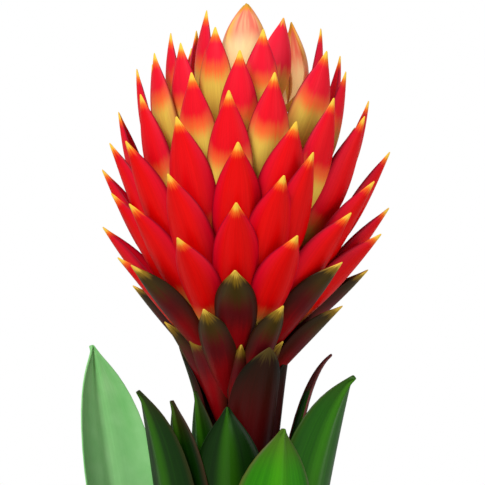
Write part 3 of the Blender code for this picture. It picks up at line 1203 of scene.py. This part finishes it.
for index, row in enumerate(LEAVES):
    azimuth, radius, height, foot_lean, tip_lean, half, twist, shade, bloom, blush = row
    guide = leaf_guide(
        FIRST_LEAF_RADIUS + index * LEAF_LAYER,
        0.001 * radius,
        0.001 * height,
        math.radians(foot_lean),
        math.radians(tip_lean),
    )
    leaf = lay_blade(
        leaf_master,
        f"strap_leaf_{index + 1:02d}",
        guide,
        0.001 * half,
        0.001 * half,
        math.radians(azimuth),
        LEAF_THICKNESS,
        math.radians(twist),
    )
    for key, value in (("shade", shade), ("bloom", bloom), ("blush", blush), ("tone", chance.random())):
        keep_constant(leaf, key, value)
    dress_smooth(leaf, LEAF, "leaf", f"leaf_{index + 1:02d}")
print(len(LEAVES), "leaves")

# %% [markdown]
# ## Spinning a profile
# The pot is turned clay and the soil fills it, so both are round. A profile starts as a single point,
# is extruded from place to place, and is then spun once round the middle, as on a wheel.

# %% Spinning a profile
SPIN_STEPS = 96


def spin_profile(name, route, steps=SPIN_STEPS):
    """route is a list of (radius, height) points."""
    bpy.ops.mesh.primitive_plane_add(size=0.01)
    turned = bpy.context.object
    turned.name = name
    bpy.ops.object.mode_set(mode="EDIT")
    bpy.ops.mesh.select_mode(type="VERT")
    bpy.ops.mesh.select_all(action="SELECT")
    bpy.ops.mesh.merge(type="CENTER")
    bpy.ops.transform.translate(value=(route[0][0], 0, route[0][1]))
    for last, place in zip(route, route[1:]):
        bpy.ops.mesh.extrude_region_move(
            TRANSFORM_OT_translate={"value": (place[0] - last[0], 0, place[1] - last[1])}
        )
    bpy.ops.mesh.select_all(action="SELECT")
    bpy.ops.mesh.spin(steps=steps, angle=math.tau, center=(0, 0, 0), axis=(0, 0, 1))
    bpy.ops.mesh.select_all(action="SELECT")
    bpy.ops.mesh.remove_doubles(threshold=1e-5)
    bpy.ops.mesh.normals_make_consistent(inside=False)
    bpy.ops.object.mode_set(mode="OBJECT")
    return turned


# %% [markdown]
# ## The measures of the pot
# It is a plain tapered pot with a deep rim. The wall leans outwards evenly, so its radius at any
# height follows from the radius at the foot and at the shoulder.

# %% Measures of the pot
POT_HEIGHT = 0.135
POT_FOOT_RADIUS = 0.053
POT_SHOULDER_RADIUS = 0.071
POT_WALL = 0.005
POT_FLOOR = 0.008
RIM_HEIGHT = 0.024
RIM_RADIUS = 0.075


def pot_radius(height):
    return POT_FOOT_RADIUS + (POT_SHOULDER_RADIUS - POT_FOOT_RADIUS) * height / POT_HEIGHT


def between(first, last, count):
    """Evenly spaced points from first to last, leaving out the last."""
    return [
        tuple(a + (b - a) * step / count for a, b in zip(first, last)) for step in range(count)
    ]


# %% [markdown]
# ## The pot's profile
# The route goes along the floor from the middle, up the inside, over the lip, down the deep rim and
# down the outside to the foot. Each corner is rounded by two or three points a millimetre or so apart,
# because a potter's fingers leave no sharp edge. Long stretches get points in between, so that the
# faces stay short.

# %% The pot's profile
CORNER = 0.003
rim_foot = POT_HEIGHT - RIM_HEIGHT
floor_edge = pot_radius(POT_FLOOR) - POT_WALL
inner_top = (pot_radius(POT_HEIGHT) - POT_WALL, POT_HEIGHT - 0.0018)
rim_top = (RIM_RADIUS, POT_HEIGHT - CORNER)
rim_low = (RIM_RADIUS - 0.0012, rim_foot + 0.0012)
wall_top = (pot_radius(rim_foot), rim_foot - 0.0022)
wall_foot = (pot_radius(CORNER), CORNER)
inside = (
    between((0, POT_FLOOR), (floor_edge - CORNER, POT_FLOOR), 3)
    + [(floor_edge - CORNER, POT_FLOOR), (floor_edge - 0.0008, POT_FLOOR + 0.0008)]
    + between((floor_edge + 0.0004, POT_FLOOR + CORNER), inner_top, 6)
)
lip = [
    inner_top,
    (inner_top[0] + 0.0006, POT_HEIGHT - 0.0005),
    (inner_top[0] + 0.0018, POT_HEIGHT),
    (RIM_RADIUS - 0.0028, POT_HEIGHT),
    (RIM_RADIUS - 0.0009, POT_HEIGHT - 0.0009),
]
rim = between(rim_top, rim_low, 4) + [
    rim_low,
    (rim_low[0] - 0.0010, rim_foot),
    (wall_top[0] + 0.0010, rim_foot - 0.0002),
]
outside = between(wall_top, wall_foot, 8) + [
    wall_foot,
    (wall_foot[0] - 0.0008, 0.0010),
    (wall_foot[0] - 0.0026, 0.0),
    (0.012, 0.0),
    (0.0, 0.0),
]
pot = spin_profile("clay_pot", inside + lip + rim + outside)

# %% [markdown]
# ## Drain holes
# Four holes are bored through the floor, beside the middle. A cylinder is the drill, and a Boolean
# takes it away.

# %% Drain holes
DRAIN_HOLES = 4
DRAIN_RADIUS = 0.005
DRAIN_CIRCLE = 0.028

for step in range(DRAIN_HOLES):
    angle = math.tau * (step + 0.5) / DRAIN_HOLES
    bpy.ops.mesh.primitive_cylinder_add(
        vertices=32,
        radius=DRAIN_RADIUS,
        depth=3 * POT_FLOOR,
        location=(DRAIN_CIRCLE * math.cos(angle), DRAIN_CIRCLE * math.sin(angle), 0),
    )
    drill = bpy.context.object
    apply_modifier(pot, "BOOLEAN", operation="DIFFERENCE", object=drill)
    bpy.data.objects.remove(drill)
pick(pot)
bpy.ops.object.shade_smooth_by_angle(angle=math.radians(32))
print("pot", len(pot.data.polygons), "faces")

# %% [markdown]
# ## Clay
# Fired clay is never one colour. The material mixes warm browns in soft clouds, adds pale lime bloom
# that creeps up from the foot and down from the rim, and has fine turning marks and grain.

# %% Material of the pot


def height_over_floor(material):
    place = node(material, "ShaderNodeTexCoord").outputs["Object"]
    return node(material, "ShaderNodeSeparateXYZ", {"Vector": place}).outputs["Z"]


def noise_in_space(material, scale, detail=4.0, stretch=(1, 1, 1)):
    place = node(material, "ShaderNodeTexCoord").outputs["Object"]
    spread_out = node(material, "ShaderNodeMapping", {"Vector": place, "Scale": stretch})
    return node(
        material,
        "ShaderNodeTexNoise",
        {"Vector": spread_out.outputs["Vector"], "Scale": scale, "Detail": detail},
    ).outputs["Fac"]


def clay_material():
    material, shader = new_material("clay")
    clouds = noise_in_space(material, 28.0, 5.0)
    grain = noise_in_space(material, 900.0, 2.0)
    rings = noise_in_space(material, 60.0, 2.0, (0.05, 0.05, 9.0))
    height = height_over_floor(material)
    clay = blend_colours(
        material, spread(material, clouds, 0.35, 0.65), srgb(176, 92, 58), srgb(204, 122, 82)
    )
    ringed = blend_colours(
        material, spread(material, rings, 0.45, 0.7, 0.0, 0.3), clay, srgb(222, 152, 112)
    )
    low = spread(material, height, 0.040, 0.0)
    high = spread(material, height, 0.108, 0.134)
    patches = spread(material, noise_in_space(material, 45.0, 6.0), 0.47, 0.68)
    bloom = math_step(
        material, "MULTIPLY", math_step(material, "MAXIMUM", low, high), patches, clamp=True
    )
    bloom = math_step(material, "MULTIPLY", bloom, 0.65)
    limed = blend_colours(material, bloom, ringed, srgb(224, 208, 190))
    speckled = blend_colours(
        material, spread(material, grain, 0.55, 0.75, 0.0, 0.25), limed, srgb(120, 62, 40)
    )
    relief = math_step(
        material, "ADD", math_step(material, "MULTIPLY", grain, 0.35), rings
    )
    finish(
        material,
        shader,
        base_color=speckled,
        roughness=spread(material, clouds, 0.3, 0.7, 0.78, 0.92),
        normal=raised(material, relief, 0.25, 0.0006),
    )
    return material


dress(pot, clay_material(), "pot", "pot")

# %% [markdown]
# ## Soil
# Plants of this kind grow in coarse bark and peat. The soil is a spun plug that fills the pot, with a
# hole for the stem. Its top is divided finely and then roughened by shifting its points, which is
# quicker than modelling clods and looks as uneven.

# %% The soil
SOIL_LEVEL = 0.122
SOIL_GAP = 0.0009
SOIL_STEPS = 120
SOIL_ROUGHNESS = 0.0011
EDGE_LEFT_FLAT = 0.001
STEM_RADIUS = 0.007
SOIL_HOLE_FOOT = 0.0696
SOIL_RADIUS = pot_radius(SOIL_LEVEL) - POT_WALL - SOIL_GAP

soil_top = SOIL_LEVEL - 0.0012
soil_floor = POT_FLOOR + 0.0004
hole_radius = STEM_RADIUS + 0.0008
first_ring = STEM_RADIUS + 0.003
hole = [(0.0, SOIL_HOLE_FOOT), (hole_radius, SOIL_HOLE_FOOT), (hole_radius, soil_top)]
surface = between((first_ring, soil_top), (SOIL_RADIUS, soil_top), 26)
side = [
    (SOIL_RADIUS, soil_top),
    (SOIL_RADIUS - 0.0005, soil_top - 0.003),
    (pot_radius(POT_FLOOR) - POT_WALL - SOIL_GAP, soil_floor),
    (0.0, soil_floor),
]
soil = spin_profile("soil_bed", hole + surface + side, SOIL_STEPS)


def on_surface(point):
    """On the top of the soil, away from the stem's hole and from the wall."""
    radius = math.hypot(point.x, point.y)
    on_top = point.z > soil_top - ROUNDING
    return on_top and first_ring - EDGE_LEFT_FLAT < radius < SOIL_RADIUS - EDGE_LEFT_FLAT


select_points(soil, on_surface)
bpy.ops.transform.vertex_random(offset=SOIL_ROUGHNESS, uniform=0.3, seed=3)
bpy.ops.object.mode_set(mode="OBJECT")
bpy.ops.object.shade_smooth()
print("soil", len(soil.data.polygons), "faces")

# %% [markdown]
# ## Soil, bark and perlite
# All three are crumbly and matt, so they share one recipe: clods of two colours with a dusting of
# brown crumbs, and a strong relief.

# %% Material of the soil


def soil_material(name, first, second, roughness, scale):
    material, shader = new_material(name)
    clods = noise_in_space(material, scale, 6.0)
    crumbs = noise_in_space(material, 6 * scale, 3.0)
    colour = blend_colours(material, spread(material, clods, 0.35, 0.65), first, second)
    dusted = blend_colours(
        material, spread(material, crumbs, 0.55, 0.75, 0.0, 0.5), colour, srgb(112, 86, 62)
    )
    shader.inputs["Roughness"].default_value = roughness
    finish(
        material, shader, base_color=dusted, normal=raised(material, crumbs, 0.6, 0.0010)
    )
    return material


peat = soil_material("peat", srgb(38, 25, 17), srgb(72, 49, 33), 0.95, 160.0)
dress(soil, peat, "soil", "soil")

# %% [markdown]
# ## Bark chips and perlite
# On the soil lie chips of bark and white grains of perlite. Each sort is one bevelled and crumpled
# box, copied with another size, place and turn each time. They are spread evenly over the area, clear
# of the stem and of the rim, and sink a little into the soil.

# %% Bark chips and perlite
STEM_CLEARING = 0.052
RIM_CLEARING = 0.0045
CHIP_LEVEL = SOIL_LEVEL - 0.0009
MOST_TILT = 0.25


def crumble(name, count, size_range, flatness, material, seed):
    bpy.ops.mesh.primitive_cube_add(size=1)
    model = bpy.context.object
    bpy.ops.object.mode_set(mode="EDIT")
    bpy.ops.mesh.bevel(offset=0.22, offset_pct=0, segments=1, affect="EDGES")
    bpy.ops.transform.vertex_random(offset=0.12, seed=seed)
    bpy.ops.object.mode_set(mode="OBJECT")
    dice = random.Random(seed)
    crumbs = []
    for _ in range(count):
        crumb = model.copy()
        crumb.data = model.data.copy()
        bpy.context.collection.objects.link(crumb)
        size = dice.uniform(*size_range)
        angle = dice.uniform(0, math.tau)
        radius = math.sqrt(dice.uniform(STEM_CLEARING, 1)) * (SOIL_RADIUS - RIM_CLEARING)
        length = size * dice.uniform(1.0, 1.8)
        height = size * flatness
        place = Matrix.Translation((radius * math.cos(angle), radius * math.sin(angle), CHIP_LEVEL))
        turn = Matrix.Rotation(dice.uniform(0, math.tau), 4, "Z")
        tilt = Matrix.Rotation(dice.uniform(-MOST_TILT, MOST_TILT), 4, "X")
        settle(crumb, place @ turn @ tilt @ Matrix.Diagonal((length, size, height, 1)))
        crumbs.append(crumb)
    bpy.data.objects.remove(model)
    heap = dress(join(crumbs, name), material, "soil", "soil")
    print(name, len(heap.data.polygons), "faces")


bark = soil_material("bark", srgb(66, 38, 22), srgb(118, 76, 46), 0.85, 220.0)
perlite = soil_material("perlite", srgb(214, 208, 196), srgb(236, 233, 226), 0.9, 300.0)
crumble("bark_chips", 260, (0.0028, 0.0060), 0.42, bark, seed=5)
crumble("perlite", 110, (0.0013, 0.0026), 0.8, perlite, seed=8)

# %% [markdown]
# ## The stem
# The stem carries the head. Leaves and bracts hide nearly all of it. It is a round rod, extruded
# upwards from the soil, and everything over the neck leans with the head. A script turns points the
# other way than the mouse does here, so the angle is negative, and the centre is given in full.

# %% The stem
STEM_FOOT_Z = 0.070
STEM_TOP_Z = 0.5515
STEM_CHAMFER = 0.001
STEM_TOP_SHARE = 0.85

bpy.ops.mesh.primitive_circle_add(
    vertices=32, radius=STEM_RADIUS, location=(0, 0, STEM_FOOT_Z), fill_type="NGON"
)
stem = bpy.context.object
stem.name = "flower_stem"
bpy.ops.object.transform_apply()
bpy.ops.object.mode_set(mode="EDIT")
bpy.ops.mesh.select_all(action="SELECT")
levels = [STEM_FOOT_Z, 0.2, 0.3, NECK_Z, 0.42, 0.46, 0.50, STEM_TOP_Z - STEM_CHAMFER]
for last, level in zip(levels, levels[1:]):
    bpy.ops.mesh.extrude_region_move(TRANSFORM_OT_translate={"value": (0, 0, level - last)})
bpy.ops.mesh.extrude_region_move(TRANSFORM_OT_translate={"value": (0, 0, STEM_CHAMFER)})
bpy.ops.transform.resize(
    value=(STEM_TOP_SHARE, STEM_TOP_SHARE, 1), center_override=(0, 0, STEM_TOP_Z)
)
bpy.ops.mesh.select_all(action="SELECT")
bpy.ops.mesh.normals_make_consistent(inside=False)
bpy.ops.object.mode_set(mode="OBJECT")
select_points(stem, lambda point: point.z > NECK_Z + ROUNDING)
bpy.ops.transform.rotate(
    value=-HEAD_LEAN, orient_axis="Y", orient_type="GLOBAL", center_override=(0, 0, NECK_Z)
)
bpy.ops.object.mode_set(mode="OBJECT")
print("stem top at", round(max(vert.co.z for vert in stem.data.vertices), 4))

# %% [markdown]
# ## The colour of the stem
# It is green below, where the leaves wrap it, and reddens towards the head. Fine streaks run along it.

# %% Material of the stem


def stalk_material():
    material, shader = new_material("stalk")
    streaks = noise_in_space(material, 240.0, 4.0, (1, 1, 0.05))
    height = height_over_floor(material)
    green = blend_colours(
        material, spread(material, streaks, 0.35, 0.65), srgb(84, 104, 42), srgb(120, 136, 66)
    )
    reddened = blend_colours(material, spread(material, height, 0.30, 0.44), green, srgb(120, 22, 20))
    shader.inputs["Roughness"].default_value = 0.5
    finish(
        material, shader, base_color=reddened, normal=raised(material, streaks, 0.3)
    )
    return material


dress_smooth(stem, stalk_material(), "stem", "stem")

# %% [markdown]
# ## The end
# The straight blades were only patterns, so they go.

for helper in (bract_master, neck_master, leaf_master):
    bpy.data.objects.remove(helper)
